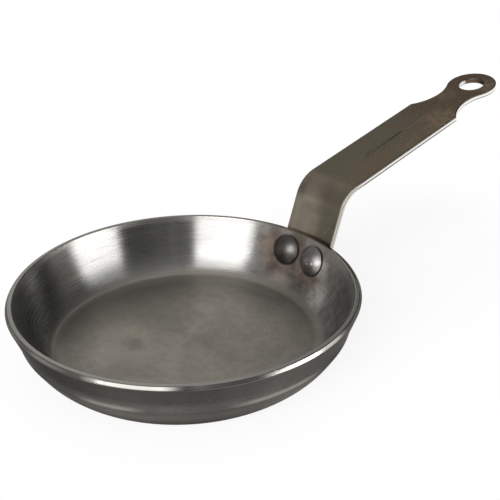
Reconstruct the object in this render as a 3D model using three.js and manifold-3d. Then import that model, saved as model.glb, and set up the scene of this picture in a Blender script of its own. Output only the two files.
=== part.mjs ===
// Blini pan: a small round pan pressed from thick sheet steel, with a strip
// handle held to the outside of its wall by two solid rivets.
// Millimetres. The origin is the centre of the base's underside, +Z is up and
// the handle runs out along +X.
import * as THREE from 'three';
import { mergeVertices } from 'three/addons/utils/BufferGeometryUtils.js';
import Module from 'manifold-3d';

const { degToRad } = THREE.MathUtils;

// Driving dimensions of the pan
const RIM_RADIUS = 60; // outer edge of the lip
const PAN_SHEET = 2.6; // thickness of the sheet, the same all over
const PAN_DEPTH = 20; // floor to the top of the lip
const WALL_FLARE = degToRad(20.6); // lean of the wall out from the vertical
const WALL_TUCK = 3.85; // floor's edge, in from where the straight wall would meet the floor
const WALL_BEND_RADIUS = 21.4; // inside of the curve that tucks the wall in
const FLOOR_BEND_RADIUS = 1.8; // inside of the tight bend round the floor

// Driving dimensions of the handle, along its upper face
const STRIP_WIDTH = 23.2;
const STRIP_SHEET = 2.2; // thickness of the strip
const HANDLE_RISE = 19; // lip's outer edge up to the corner of the bend
const BEND_RADIUS = 12; // upper face of the bend
const GRIP_TILT = degToRad(13.2); // rise of the grip from the horizontal
const GRIP_LENGTH = 65.5; // corner of the bend to the shoulders
const EYE_REACH = 25.5; // shoulders to the centre of the eye
const EYE_RADIUS = 10.1;
const NECK_RADIUS = 18.6; // hollow on each side between shoulder and eye
const HANG_HOLE_RADIUS = 5.1;
const FOOT_MARGIN = 8; // rivets to the lower end of the foot
const FOOT_CORNER_RADIUS = 4;
const FOOT_FLATTEN = 10; // length over which the curved foot becomes flat below the bend

// Driving dimensions of the rivets
const RIVET_DROP = 7.6; // top of the lip down the wall to the rivets
const RIVET_SPACING = 13.6;
const RIVET_SHANK_RADIUS = 3;
const RIVET_HEAD_RADIUS = 5.8; // domed head inside the pan
const RIVET_HEAD_HEIGHT = 2.6;
const RIVET_TAIL_RADIUS = 5; // closed end on the handle's foot
const RIVET_TAIL_HEIGHT = 1.9;

const CLEARANCE = 0.3; // between pieces that lie against each other
const CUTTER_LENGTHS = 4; // length of a hole's cutter, in thicknesses of what it cuts

// Fineness of round shapes
const PAN_SIDES = 72;
const HOLE_SIDES = 24; // rivets and round holes
const ARC_STEPS = 4;
const OUTLINE_STEPS = 6;
const STRIP_COLUMNS = 6;
const FOOT_ROWS = 8;

const wasm = await Module();
wasm.setup();

// A closed geometry as a solid that can be cut
function solidOf(geometry) {
  const bare = geometry.clone();
  bare.deleteAttribute('normal');
  bare.deleteAttribute('uv');
  const merged = mergeVertices(bare);
  const corners = merged.index.array;
  const triangles = [];
  for (let i = 0; i < corners.length; i += 3) {
    const [a, b, c] = corners.slice(i, i + 3);
    if (a !== b && b !== c && c !== a) triangles.push(a, b, c);
  }
  return new wasm.Manifold(new wasm.Mesh({
    numProp: 3,
    vertProperties: new Float32Array(merged.attributes.position.array),
    triVerts: new Uint32Array(triangles),
  }));
}

function geometryOf(solid) {
  const { vertProperties, triVerts } = solid.getMesh();
  const geometry = new THREE.BufferGeometry();
  geometry.setAttribute('position', new THREE.BufferAttribute(vertProperties, 3));
  geometry.setIndex(new THREE.BufferAttribute(triVerts, 1));
  geometry.computeVertexNormals();
  return geometry;
}

// How far an arc of this radius falls away over half a chord
const sagitta = (radius, halfChord) => radius - Math.sqrt(radius ** 2 - halfChord ** 2);

// Points of the pan's section are (radius, height). Along the wall they are
// counted down from the lip's inner edge.
const DOWN_WALL = new THREE.Vector2(-Math.sin(WALL_FLARE), -Math.cos(WALL_FLARE));
const OUT_OF_WALL = new THREE.Vector2(Math.cos(WALL_FLARE), -Math.sin(WALL_FLARE));
const lipInner = new THREE.Vector2(RIM_RADIUS - PAN_SHEET * OUT_OF_WALL.x, PAN_SHEET + PAN_DEPTH);
const lipOuter = lipInner.clone().addScaledVector(OUT_OF_WALL, PAN_SHEET);

// The straight wall ends where the tucking curve starts, and that curve heads
// for the floor's edge
const tuckDepth = WALL_TUCK * Math.cos(WALL_FLARE);
const floorEdgeDown = PAN_DEPTH / Math.cos(WALL_FLARE) + WALL_TUCK * Math.sin(WALL_FLARE);
const wallStraight = floorEdgeDown - Math.sqrt(2 * WALL_BEND_RADIUS * tuckDepth - tuckDepth ** 2);
const wallBendCentre = lipInner.clone()
  .addScaledVector(DOWN_WALL, wallStraight)
  .addScaledVector(OUT_OF_WALL, -WALL_BEND_RADIUS);

// The tight bend touches the floor and the inside of the tucking curve
const floorBendHeight = PAN_SHEET + FLOOR_BEND_RADIUS;
const floorBendCentre = new THREE.Vector2(
  wallBendCentre.x + Math.sqrt(
    (WALL_BEND_RADIUS - FLOOR_BEND_RADIUS) ** 2 - (wallBendCentre.y - floorBendHeight) ** 2,
  ),
  floorBendHeight,
);
const bendsMeet = floorBendCentre.clone().sub(wallBendCentre).angle() - 2 * Math.PI;

function panSection() {
  const straightDown = -Math.PI / 2;
  const section = new THREE.Path();
  section.moveTo(0, 0);
  section.lineTo(floorBendCentre.x, 0);
  section.absarc(
    floorBendCentre.x, floorBendCentre.y, FLOOR_BEND_RADIUS + PAN_SHEET, straightDown, bendsMeet,
  );
  section.absarc(
    wallBendCentre.x, wallBendCentre.y, WALL_BEND_RADIUS + PAN_SHEET, bendsMeet, -WALL_FLARE,
  );
  section.lineTo(lipOuter.x, lipOuter.y);
  section.lineTo(lipInner.x, lipInner.y);
  section.absarc(wallBendCentre.x, wallBendCentre.y, WALL_BEND_RADIUS, -WALL_FLARE, bendsMeet, true);
  section.absarc(
    floorBendCentre.x, floorBendCentre.y, FLOOR_BEND_RADIUS, bendsMeet, straightDown, true,
  );
  section.lineTo(0, PAN_SHEET);
  return section.getPoints(ARC_STEPS / 2);
}

// Places of the two rivets: a point on the wall's inside, and the direction
// square to the wall, into the pan
const rivetLevel = lipInner.clone().addScaledVector(DOWN_WALL, RIVET_DROP);
const rivetAngle = Math.asin(RIVET_SPACING / 2 / rivetLevel.x);
const rivetPlaces = [rivetAngle, -rivetAngle].map((angle) => {
  const round = new THREE.Vector3(Math.cos(angle), Math.sin(angle), 0);
  const point = round.clone().multiplyScalar(rivetLevel.x).setZ(rivetLevel.y);
  const inward = round.clone().multiplyScalar(-OUT_OF_WALL.x).setZ(-OUT_OF_WALL.y);
  const turn = new THREE.Quaternion().setFromUnitVectors(new THREE.Vector3(0, 1, 0), inward);
  return { point, turn };
});

// From the wall's inside to the outside of the handle's foot
const rivetStack = PAN_SHEET + CLEARANCE + STRIP_SHEET;

// A round cutter for each rivet's hole through wall and foot
const rivetCutters = rivetPlaces.map(({ point, turn }) => {
  const length = CUTTER_LENGTHS * rivetStack;
  const cutter = new THREE.CylinderGeometry(
    RIVET_SHANK_RADIUS + CLEARANCE, RIVET_SHANK_RADIUS + CLEARANCE, length, HOLE_SIDES,
  );
  cutter.applyQuaternion(turn);
  cutter.translate(point.x, point.y, point.z);
  return solidOf(cutter);
});

function panBody() {
  const bowl = new THREE.LatheGeometry(panSection(), PAN_SIDES);
  bowl.rotateX(Math.PI / 2);
  return geometryOf(rivetCutters.reduce((solid, cutter) => solid.subtract(cutter), solidOf(bowl)));
}

// The handle's upper face is followed by a run that is 0 at the corner of the
// bend, negative down the foot and positive along the grip.
// The foot's edges run straight up in line with the wall, and its middle
// bulges out as the round wall does.
const UP_FOOT = new THREE.Vector3(Math.sin(WALL_FLARE), 0, Math.cos(WALL_FLARE));
const OUT_OF_FOOT = new THREE.Vector3(OUT_OF_WALL.x, 0, OUT_OF_WALL.y);
const ALONG_GRIP = new THREE.Vector3(Math.cos(GRIP_TILT), 0, Math.sin(GRIP_TILT));
const UNDER_GRIP = new THREE.Vector3(Math.sin(GRIP_TILT), 0, -Math.cos(GRIP_TILT));

const halfStrip = STRIP_WIDTH / 2;
const wallOutside = rivetLevel.x + (PAN_SHEET + CLEARANCE) * OUT_OF_WALL.x;
const footBulge = sagitta(wallOutside / Math.cos(WALL_FLARE), halfStrip);
const footLine = new THREE.Vector3(lipOuter.x, 0, lipOuter.y)
  .addScaledVector(OUT_OF_FOOT, CLEARANCE - footBulge);
const cornerUp = (lipOuter.y + HANDLE_RISE - footLine.z) / UP_FOOT.z;
const bendCorner = footLine.clone().addScaledVector(UP_FOOT, cornerUp);

const bendTurn = UP_FOOT.angleTo(ALONG_GRIP);
const bendReach = BEND_RADIUS * Math.tan(bendTurn / 2);
const bendCentre = bendCorner.clone()
  .addScaledVector(ALONG_GRIP, bendReach)
  .addScaledVector(UNDER_GRIP, BEND_RADIUS);

const footEnd = -(cornerUp + RIVET_DROP + FOOT_MARGIN);
const eyeRun = GRIP_LENGTH + EYE_REACH;

// A point of the strip: run along it, half widths across it, depth below its
// upper face, and how wide the strip is there
function stripPoint(run, across, depth, halfWidth) {
  const point = new THREE.Vector3();
  const under = new THREE.Vector3();
  if (run <= -bendReach) {
    point.copy(bendCorner).addScaledVector(UP_FOOT, run);
    under.copy(OUT_OF_FOOT);
  } else if (run >= bendReach) {
    point.copy(bendCorner).addScaledVector(ALONG_GRIP, run);
    under.copy(UNDER_GRIP);
  } else {
    const turned = bendTurn * (run + bendReach) / (2 * bendReach);
    under.copy(OUT_OF_FOOT).applyAxisAngle(new THREE.Vector3(0, 1, 0), turned);
    point.copy(bendCentre).addScaledVector(under, -BEND_RADIUS);
  }
  const side = across * halfWidth;
  const flat = THREE.MathUtils.smoothstep(run, -bendReach - FOOT_FLATTEN, -bendReach);
  const bulge = footBulge * (1 - flat) * (1 - (side / halfStrip) ** 2);
  point.addScaledVector(under, depth + bulge);
  point.y += side;
  return point;
}

// The strip's outline, as its half width at each run
function stripOutline() {
  const rows = [];
  for (let i = 0; i <= OUTLINE_STEPS; i += 1) {
    const turn = (Math.PI / 2) * (i / OUTLINE_STEPS);
    rows.push({
      run: footEnd + FOOT_CORNER_RADIUS * (1 - Math.cos(turn)),
      half: halfStrip - FOOT_CORNER_RADIUS * (1 - Math.sin(turn)),
    });
  }
  const footStart = rows.at(-1).run;
  for (let i = 1; i <= FOOT_ROWS; i += 1) {
    const run = THREE.MathUtils.lerp(footStart, -bendReach, i / FOOT_ROWS);
    rows.push({ run, half: halfStrip });
  }
  for (let i = 1; i <= FOOT_ROWS; i += 1) {
    const run = THREE.MathUtils.lerp(-bendReach, bendReach, i / FOOT_ROWS);
    rows.push({ run, half: halfStrip });
  }
  rows.push({ run: GRIP_LENGTH, half: halfStrip });

  // The neck's hollow starts at the shoulder and runs smoothly into the eye
  const shoulder = new THREE.Vector2(GRIP_LENGTH, halfStrip);
  const eye = new THREE.Vector2(eyeRun, 0);
  const toEye = eye.clone().sub(shoulder);
  const span = toEye.length();
  const eyeSide = NECK_RADIUS + EYE_RADIUS;
  const turnIn = Math.acos((NECK_RADIUS ** 2 + span ** 2 - eyeSide ** 2) / (2 * NECK_RADIUS * span));
  const neckCentre = shoulder.clone()
    .addScaledVector(toEye.normalize().rotateAround(new THREE.Vector2(), turnIn), NECK_RADIUS);
  const fromShoulder = shoulder.clone().sub(neckCentre).angle();
  const fromEye = eye.clone().sub(neckCentre).angle();
  for (let i = 1; i <= OUTLINE_STEPS; i += 1) {
    const turn = THREE.MathUtils.lerp(fromShoulder, fromEye, i / OUTLINE_STEPS);
    rows.push({
      run: neckCentre.x + NECK_RADIUS * Math.cos(turn),
      half: neckCentre.y + NECK_RADIUS * Math.sin(turn),
    });
  }
  const eyeSteps = 2 * OUTLINE_STEPS;
  const eyeStart = fromEye - Math.PI;
  for (let i = 1; i <= eyeSteps; i += 1) {
    const turn = eyeStart * (1 - i / (eyeSteps + 0.5));
    rows.push({
      run: eyeRun + EYE_RADIUS * Math.cos(turn),
      half: EYE_RADIUS * Math.sin(turn),
    });
  }
  return rows;
}

function handle() {
  const rows = stripOutline();
  const strip = new THREE.BoxGeometry(1, 1, 1, rows.length - 1, STRIP_COLUMNS, 1);
  const place = strip.attributes.position;
  for (let i = 0; i < place.count; i += 1) {
    const { run, half } = rows[Math.round((place.getX(i) + 0.5) * (rows.length - 1))];
    const depth = STRIP_SHEET * (0.5 - place.getZ(i));
    const point = stripPoint(run, 2 * place.getY(i), depth, half);
    place.setXYZ(i, point.x, point.y, point.z);
  }
  const hangCutter = new THREE.CylinderGeometry(
    HANG_HOLE_RADIUS, HANG_HOLE_RADIUS, CUTTER_LENGTHS * STRIP_SHEET, HOLE_SIDES,
  );
  hangCutter.rotateX(Math.PI / 2);
  hangCutter.rotateY(-GRIP_TILT);
  const eye = stripPoint(eyeRun, 0, STRIP_SHEET / 2, EYE_RADIUS);
  hangCutter.translate(eye.x, eye.y, eye.z);
  const cutters = [solidOf(hangCutter), ...rivetCutters];
  return geometryOf(cutters.reduce((solid, cutter) => solid.subtract(cutter), solidOf(strip)));
}

// A rivet along its own Y axis, with y = 0 on the wall's inside.
// The head clears the hollow wall at its sides and the curve below it.
function rivet() {
  const wallAcross = sagitta(rivetLevel.x / Math.cos(WALL_FLARE), RIVET_HEAD_RADIUS);
  const pastStraight = Math.max(0, RIVET_DROP + RIVET_HEAD_RADIUS - wallStraight);
  const headSeat = CLEARANCE + Math.max(wallAcross, sagitta(WALL_BEND_RADIUS, pastStraight));
  const tailSeat = -(rivetStack + CLEARANCE);

  const domeRadius = (rim, height) => (rim ** 2 + height ** 2) / (2 * height);
  const headDome = domeRadius(RIVET_HEAD_RADIUS, RIVET_HEAD_HEIGHT);
  const tailDome = domeRadius(RIVET_TAIL_RADIUS, RIVET_TAIL_HEIGHT);
  const headRise = Math.acos(RIVET_HEAD_RADIUS / headDome);
  const tailRise = Math.acos(RIVET_TAIL_RADIUS / tailDome);

  const section = new THREE.Path();
  section.moveTo(0, tailSeat - RIVET_TAIL_HEIGHT);
  section.absarc(
    0, tailSeat - RIVET_TAIL_HEIGHT + tailDome, tailDome, -Math.PI / 2, -tailRise,
  );
  section.lineTo(RIVET_SHANK_RADIUS, tailSeat);
  section.lineTo(RIVET_SHANK_RADIUS, headSeat);
  section.lineTo(RIVET_HEAD_RADIUS, headSeat);
  section.absarc(0, headSeat + RIVET_HEAD_HEIGHT - headDome, headDome, headRise, Math.PI / 2);
  return geometryOf(solidOf(new THREE.LatheGeometry(section.getPoints(ARC_STEPS / 2), HOLE_SIDES)));
}

const panSteel = new THREE.MeshStandardMaterial({ color: 0x8f8b82, roughness: 0.35, metalness: 1 });
const handleSteel = new THREE.MeshStandardMaterial({ color: 0x5a5346, roughness: 0.5, metalness: 0.9 });
const rivetSteel = new THREE.MeshStandardMaterial({ color: 0x6f6b66, roughness: 0.35, metalness: 1 });

function named(name, geometry, material) {
  const mesh = new THREE.Mesh(geometry, material);
  mesh.name = name;
  return mesh;
}

const bliniPan = new THREE.Group();
bliniPan.add(named('pan_body', panBody(), panSteel));
bliniPan.add(named('handle', handle(), handleSteel));
['rivet_left', 'rivet_right'].forEach((name, i) => {
  const mesh = named(name, rivet(), rivetSteel.clone());
  mesh.position.copy(rivetPlaces[i].point);
  mesh.quaternion.copy(rivetPlaces[i].turn);
  bliniPan.add(mesh);
});

export default bliniPan;
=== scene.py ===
# %% [markdown]
# A small round pan for blini, pressed from thick bare steel, with a strip
# handle riveted to its wall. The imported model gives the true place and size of
# every piece, so it is loaded first and never moved. In this lesson each piece
# is modelled again by hand, as smooth as the real one, and given its finish.

# %% Load the frame
import math

import bpy
from mathutils import Matrix, Vector


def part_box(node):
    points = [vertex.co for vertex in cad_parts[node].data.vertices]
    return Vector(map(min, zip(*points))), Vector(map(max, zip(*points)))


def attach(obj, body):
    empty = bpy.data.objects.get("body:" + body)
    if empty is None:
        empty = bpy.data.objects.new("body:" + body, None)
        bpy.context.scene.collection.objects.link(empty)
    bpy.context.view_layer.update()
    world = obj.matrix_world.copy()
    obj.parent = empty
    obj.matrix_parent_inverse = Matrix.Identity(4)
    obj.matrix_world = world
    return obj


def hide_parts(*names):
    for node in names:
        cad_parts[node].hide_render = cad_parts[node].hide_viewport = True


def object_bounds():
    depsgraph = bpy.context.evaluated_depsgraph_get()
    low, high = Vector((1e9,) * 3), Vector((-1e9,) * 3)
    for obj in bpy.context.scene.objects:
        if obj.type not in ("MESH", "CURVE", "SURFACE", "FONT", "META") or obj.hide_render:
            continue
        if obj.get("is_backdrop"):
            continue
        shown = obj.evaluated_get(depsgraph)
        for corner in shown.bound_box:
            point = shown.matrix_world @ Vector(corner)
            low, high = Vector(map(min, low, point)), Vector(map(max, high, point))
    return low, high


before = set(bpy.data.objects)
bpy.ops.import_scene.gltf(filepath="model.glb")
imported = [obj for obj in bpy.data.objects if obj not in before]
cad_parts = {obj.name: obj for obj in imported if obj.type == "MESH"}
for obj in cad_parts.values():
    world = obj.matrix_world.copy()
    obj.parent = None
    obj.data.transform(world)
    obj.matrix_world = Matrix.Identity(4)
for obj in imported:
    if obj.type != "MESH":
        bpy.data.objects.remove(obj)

MM = 0.001
solid_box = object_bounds()


def in_mm(lengths):
    return [round(length / MM, 2) for length in lengths]


def box_size(box):
    return in_mm(high - low for low, high in zip(*box))


print("pieces in the frame:", sorted(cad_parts))
print("overall size, mm:", box_size(solid_box))

# %% [markdown]
# The photograph looks down into the pan from its front left, from so near that
# the handle grows smaller towards its eye. A camera could be aimed with a
# constraint, but a turn about the upright axis, a tilt and a small roll say
# the same in three numbers that can be read and changed. They are in degrees,
# and the place is in millimetres.

# %% Camera
camera_place = Vector((-165.35, -220.83, 172.25))
camera_turn, camera_tilt, camera_roll = -41.485, -26.393, -0.724

bpy.ops.object.camera_add()
camera = bpy.context.object
camera.name = "camera"
camera.data.sensor_width = 36
camera.data.lens = 66.36
camera.data.shift_x = -0.001
camera.matrix_world = (
    Matrix.Translation(camera_place * MM)
    @ Matrix.Rotation(math.radians(camera_turn), 4, "Z")
    @ Matrix.Rotation(math.radians(90 + camera_tilt), 4, "X")
    @ Matrix.Rotation(math.radians(camera_roll), 4, "Z")
)
bpy.context.scene.camera = camera
print("camera stands at, mm:", in_mm(camera.location))

# %% [markdown]
# Operators work on whatever is selected, and loading the frame leaves its
# pieces selected. Each step therefore starts from an empty selection and picks
# its own piece. Faces and points are picked by where they lie, as a hand would
# pick them with the mouse.

# %% Picking things up
def put_down():
    if bpy.context.object and bpy.context.object.mode != "OBJECT":
        bpy.ops.object.mode_set(mode="OBJECT")
    bpy.ops.object.select_all(action="DESELECT")


def take(piece):
    put_down()
    bpy.context.view_layer.objects.active = piece
    piece.select_set(True)


def pick(piece, kind, wanted):
    take(piece)
    bpy.ops.object.mode_set(mode="EDIT")
    bpy.ops.mesh.select_mode(type=kind)
    bpy.ops.mesh.select_all(action="DESELECT")
    bpy.ops.object.mode_set(mode="OBJECT")
    for part in piece.data.vertices if kind == "VERT" else piece.data.polygons:
        part.select = wanted(part)
    bpy.ops.object.mode_set(mode="EDIT")


def pick_points(piece, wanted):
    pick(piece, "VERT", lambda point: wanted(point.co / MM))


def pick_faces(piece, wanted):
    pick(piece, "FACE", lambda face: wanted(face.center / MM, face.normal))


put_down()
print("selected now:", len(bpy.context.selected_objects))

# %% [markdown]
# The pan and its rivets are round, so each is drawn as half a section and
# turned about an axis, as on a lathe. A plane merged to one point is the
# pencil: extruding it draws a line, and spinning it about a centre draws a
# true arc. Scaling a cylinder ring by ring would also work, but the bends
# would then be guessed instead of drawn.

# %% Drawing a section
def start_line(name, place):
    put_down()
    bpy.ops.mesh.primitive_plane_add(size=MM)
    piece = bpy.context.object
    piece.name = piece.data.name = name
    bpy.ops.object.mode_set(mode="EDIT")
    bpy.ops.mesh.select_mode(type="VERT")
    bpy.ops.mesh.select_all(action="SELECT")
    bpy.ops.mesh.merge(type="CENTER")
    bpy.ops.transform.translate(value=(place.x * MM, 0, place.y * MM))
    return piece


def line(start, end):
    step = (end - start) * MM
    bpy.ops.mesh.extrude_vertices_move(TRANSFORM_OT_translate={"value": (step.x, 0, step.y)})


def arc(centre, turn, steps):
    # A positive turn goes anticlockwise, with the axis on the left and up at the top
    bpy.ops.mesh.spin(
        steps=steps, angle=abs(turn), center=(centre.x * MM, 0, centre.y * MM),
        axis=(0, 1 if turn > 0 else -1, 0),
    )


def round_point(piece, place, size, steps):
    nearby = 0.02
    pick_points(piece, lambda p: (Vector((p.x, p.z)) - place).length < nearby)
    bpy.ops.mesh.bevel(offset=size * MM, segments=steps, profile=0.5, affect="VERTICES")


def on_circle(centre, radius, angle):
    return centre + radius * Vector((math.cos(angle), math.sin(angle)))


print("a section is drawn in mm, as radius and height")

# %% [markdown]
# The pan is one sheet, pressed: a flat floor, a tight bend, a long curve that
# tucks the wall in, and a straight wall that leans out to a plain cut lip.
# First come the corners of that section, worked out from the pan's sizes.

# %% Sizes of the pan
rim_radius, sheet, depth = 60, 2.6, 20
flare = math.radians(20.6)
tuck, tuck_radius, outer_bend, inner_bend = 3.85, 21.4, 1.8, 6.5

down_wall = Vector((-math.sin(flare), -math.cos(flare)))
out_of_wall = Vector((math.cos(flare), -math.sin(flare)))
lip_inside = Vector((rim_radius - sheet * out_of_wall.x, sheet + depth))
lip_outside = lip_inside + sheet * out_of_wall
tuck_depth = tuck * math.cos(flare)
wall_length = (
    depth / math.cos(flare) + tuck * math.sin(flare)
    - math.sqrt(2 * tuck_radius * tuck_depth - tuck_depth ** 2)
)
wall_foot = lip_inside + wall_length * down_wall
tuck_centre = wall_foot - tuck_radius * out_of_wall


def bend_to(radius):
    # Where a bend of this radius lies between the tuck's curve and the floor
    up = sheet + radius - tuck_centre.y
    reach = math.sqrt((tuck_radius - radius) ** 2 - up ** 2)
    return tuck_centre + Vector((reach, up)), math.atan2(up, reach)


bend_centre, meeting = bend_to(outer_bend)
soft_centre, soft_meeting = bend_to(inner_bend)
print("straight wall, mm:", round(wall_length, 2), " floor across, mm:", round(2 * bend_centre.x, 1))

# %% [markdown]
# The lip was turned off almost level, its outer corner is ground to a steep
# slope and its inner corner is only broken. Where the tuck starts, the press
# has left a low, soft shoulder round the outside that catches the light. These
# corners are drawn sharp and then rounded with a bevel of the points, which
# keeps the lines between them straight.

# %% Draw the pan's section
lip_lean, lip_width, slope_drop = math.radians(6), 1.5, 0.5
shoulder_rise, shoulder_low, shoulder_high = 0.4, -0.4, 1.6
shoulder_foot = math.radians(31)

slope_start = on_circle(lip_inside, lip_width, -lip_lean)
slope_end = lip_outside + slope_drop * down_wall
tuck_end = wall_foot + sheet * out_of_wall
crest = tuck_end - shoulder_low * down_wall + shoulder_rise * out_of_wall
wall_start = tuck_end - shoulder_high * down_wall
tuck_stop = on_circle(tuck_centre, tuck_radius + sheet, -shoulder_foot)

base_middle = Vector((0, 0))
pan = start_line("pan", base_middle)
line(base_middle, Vector((bend_centre.x, 0)))
arc(bend_centre, meeting + math.pi / 2, steps=10)
arc(tuck_centre, -shoulder_foot - meeting, steps=12)
line(tuck_stop, crest)
line(crest, wall_start)
line(wall_start, slope_end)
line(slope_end, slope_start)
line(slope_start, lip_inside)
line(lip_inside, wall_foot)
arc(tuck_centre, soft_meeting + flare, steps=16)
arc(soft_centre, -math.pi / 2 - soft_meeting, steps=10)
line(Vector((soft_centre.x, sheet)), Vector((0, sheet)))

for place, size, steps in (
    (slope_end, 0.15, 3),
    (slope_start, 0.3, 5),
    (lip_inside, 0.35, 4),
    (crest, 0.95, 8),
    (wall_start, 0.9, 6),
):
    round_point(pan, place, size, steps)
take(pan)
print("points in the section:", len(pan.data.vertices))

# %% [markdown]
# The section is turned once round the upright axis. A Screw modifier would do
# the same, but the spin operator leaves the finished mesh at once. Its last
# row lands on its first, so doubles are merged, and only then are the faces
# made to look outwards.

# %% Turn the pan
def close_up():
    bpy.ops.mesh.select_all(action="SELECT")
    bpy.ops.mesh.remove_doubles(threshold=0.001 * MM)
    bpy.ops.mesh.normals_make_consistent(inside=False)


def lathe(steps):
    bpy.ops.mesh.select_all(action="SELECT")
    bpy.ops.mesh.spin(steps=steps, angle=2 * math.pi, center=(0, 0, 0), axis=(0, 0, 1))
    close_up()
    bpy.ops.object.mode_set(mode="OBJECT")


bpy.ops.object.mode_set(mode="EDIT")
lathe(steps=192)
print("pan:", len(pan.data.polygons), "faces,", in_mm(pan.dimensions), "mm")

# %% [markdown]
# A rivet is a short bar with a dome upset on each end: a wide polished head
# inside the pan and a closed end on the handle's foot. It is turned once, with
# its axis upright and the wall's inside at height zero, and the rim of each
# dome is broken so that it catches a line of light.

# %% Turn a rivet
strip_sheet, gap = 2.2, 0.3
head_radius, head_height, head_seat = 5.8, 2.7, 0.42
tail_radius, tail_height, shank_radius = 5.0, 1.9, 3.0
tail_seat = -(sheet + strip_sheet + 2 * gap)


def dome(rim, height):
    radius = (rim ** 2 + height ** 2) / (2 * height)
    return radius, math.acos(rim / radius)


head_dome, head_rise = dome(head_radius, head_height)
tail_dome, tail_rise = dome(tail_radius, tail_height)
tail_tip = Vector((0, tail_seat - tail_height))
tail_rim = Vector((tail_radius, tail_seat))
head_rim = Vector((head_radius, head_seat))
shank_low, shank_high = Vector((shank_radius, tail_seat)), Vector((shank_radius, head_seat))

rivet_left = start_line("rivet.left", tail_tip)
arc(tail_tip + Vector((0, tail_dome)), math.pi / 2 - tail_rise, steps=12)
line(tail_rim, shank_low)
line(shank_low, shank_high)
line(shank_high, head_rim)
arc(Vector((0, head_seat + head_height - head_dome)), math.pi / 2 - head_rise, steps=18)
round_point(rivet_left, head_rim, size=0.35, steps=4)
round_point(rivet_left, tail_rim, size=0.3, steps=3)
lathe(steps=72)
print("rivet:", len(rivet_left.data.polygons), "faces,", in_mm(rivet_left.dimensions), "mm")

# %% [markdown]
# The two rivets sit side by side in the wall, square to it, so each is laid
# over by the wall's lean and turned to its place round the pan. One is
# modelled and the other is a copy with a mesh of its own. Applying the
# transform leaves both objects at the origin with their place in the mesh.

# %% Set the rivets in the wall
rivet_drop, rivet_spacing = 7.6, 13.6
rivet_level = lip_inside + rivet_drop * down_wall
rivet_turn = math.asin(rivet_spacing / 2 / rivet_level.x)


def rivet_place(turn):
    across = Matrix.Rotation(turn, 4, "Z")
    inward = Matrix.Rotation(flare - math.pi / 2, 4, "Y")
    return across @ Matrix.Translation((rivet_level.x * MM, 0, rivet_level.y * MM)) @ inward


take(rivet_left)
bpy.ops.object.duplicate()
rivet_right = bpy.context.object
rivet_right.name = rivet_right.data.name = "rivet.right"
for rivet, node, turn in (
    (rivet_left, "rivet_left", rivet_turn),
    (rivet_right, "rivet_right", -rivet_turn),
):
    take(rivet)
    rivet.matrix_world = rivet_place(turn)
    bpy.ops.object.transform_apply(location=True, rotation=True, scale=True)
    start = [min(point.co[i] for point in rivet.data.vertices) for i in range(3)]
    print(rivet.name, "starts at, mm:", in_mm(start), " frame:", in_mm(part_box(node)[0]))

# %% [markdown]
# The handle is one strip of steel. On the real one a flat blank is cut, its
# grip is stamped, and it is then folded, with its foot hollowed to fit the
# round wall. Here the upper face is drawn as a single row of edges that is
# pulled along: extruded up the foot, spun through the fold and extruded along
# the grip. Solidify then gives it the thickness of the strip.

# %% Sizes of the handle
half_strip, handle_rise, fold_radius = 23.2 / 2, 19, 12
tilt = math.radians(13.2)
grip_length, eye_reach, eye_radius, neck_radius, hole_radius = 65.5, 25.5, 10.1, 18.6, 5.1
foot_margin, foot_corner, foot_flatten = 8, 4, 6


def sagitta(radius, half_chord):
    return radius - math.sqrt(radius ** 2 - half_chord ** 2)


up_foot = Vector((math.sin(flare), 0, math.cos(flare)))
out_of_foot = Vector((math.cos(flare), 0, -math.sin(flare)))
along_grip = Vector((math.cos(tilt), 0, math.sin(tilt)))
under_grip = Vector((math.sin(tilt), 0, -math.cos(tilt)))
foot_hollow = sagitta(
    (rivet_level.x + (sheet + gap) * out_of_wall.x) / math.cos(flare), half_strip
)
foot_line = Vector((lip_outside.x, 0, lip_outside.y)) + (gap - foot_hollow) * out_of_foot
corner_up = (lip_outside.y + handle_rise - foot_line.z) / up_foot.z
corner = foot_line + corner_up * up_foot
fold_turn = up_foot.angle(along_grip)
fold_reach = fold_radius * math.tan(fold_turn / 2)
fold_centre = corner + fold_reach * along_grip + fold_radius * under_grip
foot_end = -(corner_up + rivet_drop + foot_margin)
eye_run = grip_length + eye_reach
print("fold, degrees:", round(math.degrees(fold_turn), 1), " foot, mm:", round(-foot_end, 1))

# %% [markdown]
# The outline is kept as a list of rows, each with how far along the strip it
# is and how wide the strip is there: round corners at the foot, straight
# sides, a hollow neck behind each shoulder and a round eye at the end. The last
# row stops just short of the eye's tip, because it needs some width.

# %% Outline of the strip
corner_steps, foot_steps, neck_steps, eye_steps = 6, 14, 18, 36
short_of_tip = 0.4

foot_rows = [
    (foot_end + foot_corner * (1 - math.cos(t)), half_strip - foot_corner * (1 - math.sin(t)))
    for t in (math.radians(90 * i / corner_steps) for i in range(corner_steps + 1))
]
foot_top = foot_rows[-1][0]
for i in range(1, foot_steps + 1):
    foot_rows.append((foot_top + (-fold_reach - foot_top) * i / foot_steps, half_strip))

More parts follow.
